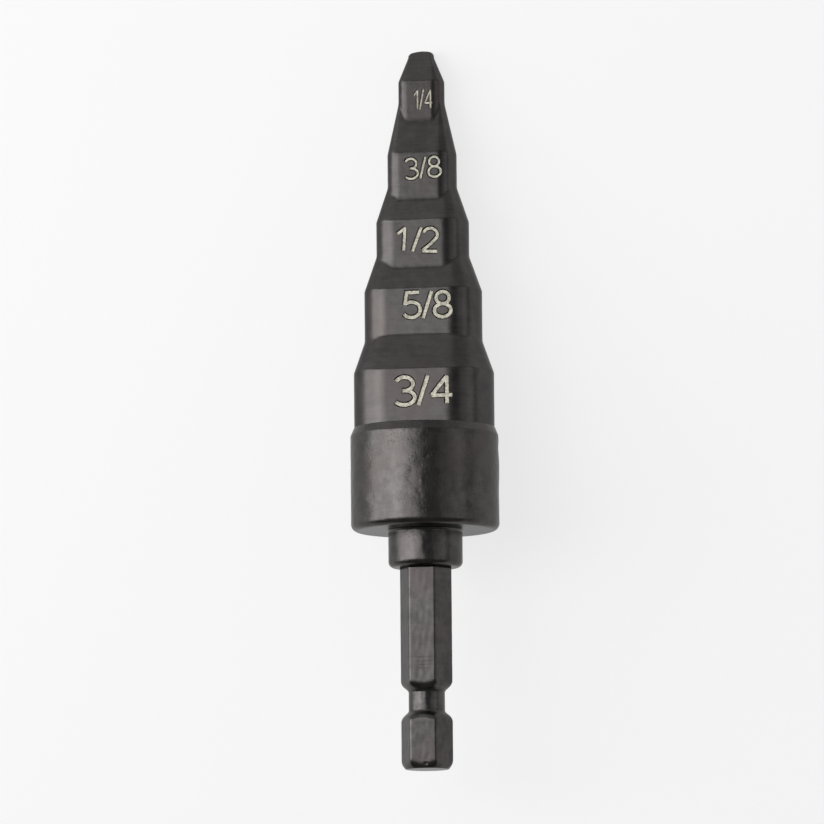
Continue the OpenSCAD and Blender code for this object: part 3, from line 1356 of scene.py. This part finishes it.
@dataclass
class SwagingBit:
    """The whole bit: shank, neck and collar, and the stepped body with its size marks.

    Attributes:
        marks: The engraved sizes.
        shank: The hexagonal shank.
        collar: The neck and the collar.
        body: The steps with the nose and the tip.
        depth: Depth of the engraving, in millimetres.
        above: How far its cutters stand over the flats, in millimetres.
        sunk: Depth from which a face counts as part of a figure, in millimetres.
        clear: Room over the body's start that has no figures, in millimetres.
        upward: How squarely a floor faces the numbered side, as a cosine.
        crease: Angle from which an edge is drawn sharp, in degrees.
    """

    marks: tuple[SizeMark, ...]
    shank: Shank = Shank()
    collar: Collar = Collar()
    body: SteppedBody = SteppedBody()
    depth: float = 0.15
    above: float = 0.4
    sunk: float = 0.03
    clear: float = 1.0
    upward: float = 0.93
    crease: float = 35.0

    def __post_init__(self) -> None:
        """Work out where the bit rests."""
        self.placement = Placement.resting(self.shank, self.collar, self.body)

    def stand(self, mesh: bpy.types.Mesh, *finishes: bpy.types.Material) -> bpy.types.Object:
        """Place a mesh in the frame, dress it and say what it stands for.

        Args:
            mesh: Mesh on the bit's own axes.
            *finishes: Its materials in order.

        Returns:
            The piece.
        """
        mesh.transform(self.placement.matrix())
        piece = placed(mesh.name.split(".")[0], mesh)
        mesh.materials.clear()
        for finish in finishes:
            mesh.materials.append(finish)
        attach(piece, "root")
        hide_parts(CAD_NODE)
        LOG.info("%s: %d faces", piece.name, len(mesh.polygons))
        return piece

    def engrave(self, mesh: bpy.types.Mesh) -> bpy.types.Mesh:
        """Cut the size marks into the stepped body.

        Args:
            mesh: The plain stepped body, without finishes, on the bit's own axes.

        Returns:
            The mesh with the figures cut in, still without finishes.
        """
        blank = placed("blank", mesh)
        for mark in self.marks:
            first, *others = mark.cutters(self.depth, self.above)
            for cutter in others:
                carve(first, cutter, Carving.JOIN)
            carve(blank, first, Carving.CUT)
        shaped = blank.data
        bpy.data.objects.remove(blank)
        return shaped

    def grooves(self, mesh: bpy.types.Mesh) -> np.ndarray:
        """Find the faces of the engraved figures.

        Args:
            mesh: The engraved body, on the bit's own axes.

        Returns:
            The number of each face's surface: a figure's floor, its sloping side or the plain steel.
        """
        count = len(mesh.polygons)
        centres, normals = np.empty(count * 3), np.empty(count * 3)
        mesh.polygons.foreach_get("center", centres)
        mesh.polygons.foreach_get("normal", normals)
        centres, normals = centres.reshape(-1, 3) / MM, normals.reshape(-1, 3)
        outside = self.body.radius(np.arctan2(centres[:, 1], centres[:, 0]), centres[:, 2])
        level = centres[:, 2]
        sunk = outside - np.hypot(centres[:, 0], centres[:, 1]) > self.sunk
        sunk &= (level < self.body.steps[-1].top) & (level > self.body.start + self.clear)
        figure = np.where(normals[:, 1] < -self.upward, Surface.FLOOR.value, Surface.SIDE.value)
        return np.where(sunk, figure, Surface.PLAIN.value).astype(np.int32)

    def build(self) -> list[bpy.types.Object]:
        """Build and dress all pieces.

        Returns:
            The pieces, from the shank to the steps.
        """
        engraved = self.engrave(self.body.mesh())
        grooves = self.grooves(engraved)
        # The third finish paints shade on the figures' sloping sides.
        finishes = (STEP_STEEL, EngravedFloor(), PAINTED_SHADE_SIDES)
        pieces = [
            self.stand(self.shank.mesh(), SHANK_STEEL.material(self.placement)),
            self.stand(self.collar.mesh(), COLLAR_STEEL.material(self.placement)),
            self.stand(engraved, *(finish.material(self.placement) for finish in finishes)),
        ]
        engraved.polygons.foreach_set("material_index", grooves)
        engraved.polygons.foreach_set("use_smooth", np.ones(len(grooves), dtype=bool))
        engraved.set_sharp_from_angle(angle=math.radians(self.crease))
        return pieces


@dataclass(frozen=True)
class SoftBox:
    """One soft studio light beside the bit.

    Attributes:
        name: Name of the light.
        turn: Where it stands round the bit, in degrees from the camera, negative to the left.
        distance: Distance from the bit, in metres.
        wide: Its width round the bit, in metres.
        long: Its length along the bit.
        radiance: How bright its face is, where 1 is white.
        rise: How far it stands towards the tip, in degrees.
    """

    name: str
    turn: float
    distance: float
    wide: float
    long: float
    radiance: float
    rise: float = 0.0


@dataclass
class Studio:
    """Camera, lights, floor and surroundings.

    Attributes:
        placement: Where the bit lies.
        turn: How far round the camera stands to the right of the numbered flats, in degrees.
        rise: How far the camera looks from the shank's side, in degrees.
        roll: How far the bit leans to the left in the picture, in degrees.
        level: Level on the axis at the picture's middle, in millimetres.
        aside: How far the axis stands right of the picture's middle there.
        field: Width and height of the picture at the bit, in millimetres.
        distance: Distance of the camera, in metres.
        sensor: Width of the camera's sensor, in millimetres.
        clip: Nearest and farthest distance that the camera sees, in metres.
        half: Half the width of the floor, in metres.
        grey: How much of the light the floor scatters.
        glow: How light the floor looks to the camera and in reflections.
        room: How light the room round the lights is.
        boxes: The lights.
    """

    placement: Placement
    turn: float = 10.5
    rise: float = 7.0
    roll: float = 0.5
    level: float = 49.55
    aside: float = 1.7
    field: float = 113.97
    distance: float = 1.1
    sensor: float = 36.0
    clip: tuple[float, float] = (0.01, 20.0)
    half: float = 3.0
    grey: float = 0.22
    glow: float = 0.755
    room: float = 0.16
    boxes: tuple[SoftBox, ...] = (
        SoftBox("left_low", -82.0, 0.5, 0.212, 0.40, 3.7, 4.0),
        SoftBox("left_mid", -63.0, 0.5, 0.123, 0.24, 3.9, 4.0),
        SoftBox("left_key", -46.0, 0.5, 0.176, 0.17, 6.1, 4.0),
        SoftBox("left_high", -30.0, 0.5, 0.105, 0.15, 4.2, 4.0),
        SoftBox("left_front", -17.0, 0.5, 0.123, 0.15, 2.8, 4.0),
        SoftBox("right_front", 36.0, 0.5, 0.20, 0.34, 0.5, 2.0),
        SoftBox("right_strip", 57.0, 0.5, 0.16, 0.34, 1.0, 2.0),
        SoftBox("tip_fill", -45.0, 0.6, 0.8, 0.3, 0.8, 46.0),
        SoftBox("right_fill", 40.0, 0.6, 0.7, 0.3, 0.4, 46.0),
    )

    def axes(self) -> tuple[Vector, Vector, Vector]:
        """Give the bit's axis, the numbered flats' facing and the direction across, in the frame."""
        turn = self.placement.matrix().to_3x3()
        return turn @ Vector((0, 0, 1)), turn @ Vector((0, -1, 0)), turn @ Vector((1, 0, 0))

    def middle(self) -> Vector:
        """Give the point of the axis that the picture is centred on."""
        return self.placement.matrix() @ Vector((0, 0, self.level * MM))

    def towards(self, turn: float) -> Vector:
        """Give a direction square to the axis, turned from the flats' facing to the right.

        Args:
            turn: How far it is turned, in degrees.

        Returns:
            The direction, with a length of 1.
        """
        _, facing, across = self.axes()
        angle = math.radians(turn)
        return facing * math.cos(angle) + across * math.sin(angle)

    def camera(self) -> None:
        """Make the camera at the photograph's viewing angle."""
        axis, _, _ = self.axes()
        rise = math.radians(self.rise)
        back = (self.towards(self.turn) * math.cos(rise) - axis * math.sin(rise)).normalized()
        up = (axis - back * axis.dot(back)).normalized()
        right = up.cross(back)
        roll = math.radians(self.roll)
        leaned = up * math.cos(roll) + right * math.sin(roll)
        side = leaned.cross(back)
        data = bpy.data.cameras.new("camera")
        data.sensor_width = self.sensor
        data.lens = self.sensor * self.distance / (self.field * MM)
        data.clip_start, data.clip_end = self.clip
        camera = placed("camera", data)
        place = self.middle() + back * self.distance - side * (self.aside * MM)
        camera.matrix_world = looking(place, side, leaned, back)
        bpy.context.scene.camera = camera

    def light(self, box: SoftBox) -> None:
        """Hang one soft light, facing the bit.

        Args:
            box: The light.
        """
        axis, _, _ = self.axes()
        data = bpy.data.lights.new(box.name, "AREA")
        data.shape = "RECTANGLE"
        data.size, data.size_y = box.wide, box.long
        data.energy = box.radiance * math.pi * box.wide * box.long
        level = self.towards(self.turn + box.turn)
        rise = math.radians(box.rise)
        out = level * math.cos(rise) + axis * math.sin(rise)
        along = axis * math.cos(rise) - level * math.sin(rise)
        lamp = placed(box.name, data)
        lamp.matrix_world = looking(self.middle() + out * box.distance, along.cross(out), along, out)
        lamp.visible_camera = False

    def floor(self) -> None:
        """Lay the plain pale floor."""
        mesh = bpy.data.meshes.new("floor")
        corners = [(x * self.half, y * self.half, 0.0) for x, y in ((-1, -1), (1, -1), (1, 1), (-1, 1))]
        mesh.from_pydata(corners, [], [(0, 1, 2, 3)])
        floor = placed("floor", mesh)
        graph = Graph("pale_floor")
        path = graph.node("ShaderNodeLightPath", {}, {})
        seen = graph.out(path, "Is Camera Ray") + graph.out(path, "Is Glossy Ray")
        seen = (seen + graph.out(path, "Is Transmission Ray")).clip()
        matt = graph.node("ShaderNodeBsdfDiffuse", {}, {"Color": (self.grey, self.grey, self.grey, 1.0)})
        light: Inputs = {"Color": (1.0, 1.0, 1.0, 1.0), "Strength": seen * self.glow}
        glow = graph.node("ShaderNodeEmission", {}, light)
        both = graph.node("ShaderNodeAddShader", {}, {0: graph.out(matt), 1: graph.out(glow)})
        mesh.materials.append(graph.finish(both))

    def surroundings(self) -> None:
        """Give the room round the lights a plain dim grey."""
        world = bpy.data.worlds.new("room")
        bpy.context.scene.world = world
        world.use_nodes = True
        backdrop = world.node_tree.nodes["Background"]
        backdrop.inputs["Color"].default_value = (self.room, self.room, self.room, 1.0)
        backdrop.inputs["Strength"].default_value = 1.0

    def build(self) -> None:
        """Set the whole studio up."""
        self.camera()
        for box in self.boxes:
            self.light(box)
        self.floor()
        self.surroundings()
        bpy.context.scene.view_settings.view_transform = "Standard"


MARKS = (
    SizeMark("3/4", STEPS[0], 1.15, 51.75, 4.35, 8.45, 0.50, 0.5),
    SizeMark("5/8", STEPS[1], 1.45, 63.85, 3.95, 7.05, 0.46, -0.3),
    SizeMark("1/2", STEPS[2], -0.05, 73.12, 3.6, 6.05, 0.40, -3.0, (0.3, 0.08)),
    SizeMark("3/8", STEPS[3], 0.65, 83.25, 3.1, 5.25, 0.28, 3.0),
    SizeMark("1/4", STEPS[4], 0.6, 93.0, 2.85, 2.8, 0.22, 0.0, (0.16, 0.1), 0.07),
)


def main() -> None:
    logging.basicConfig(level=logging.INFO)
    bit = SwagingBit(MARKS)
    bit.build()
    Studio(bit.placement).build()


if __name__ == "__main__":
    main()
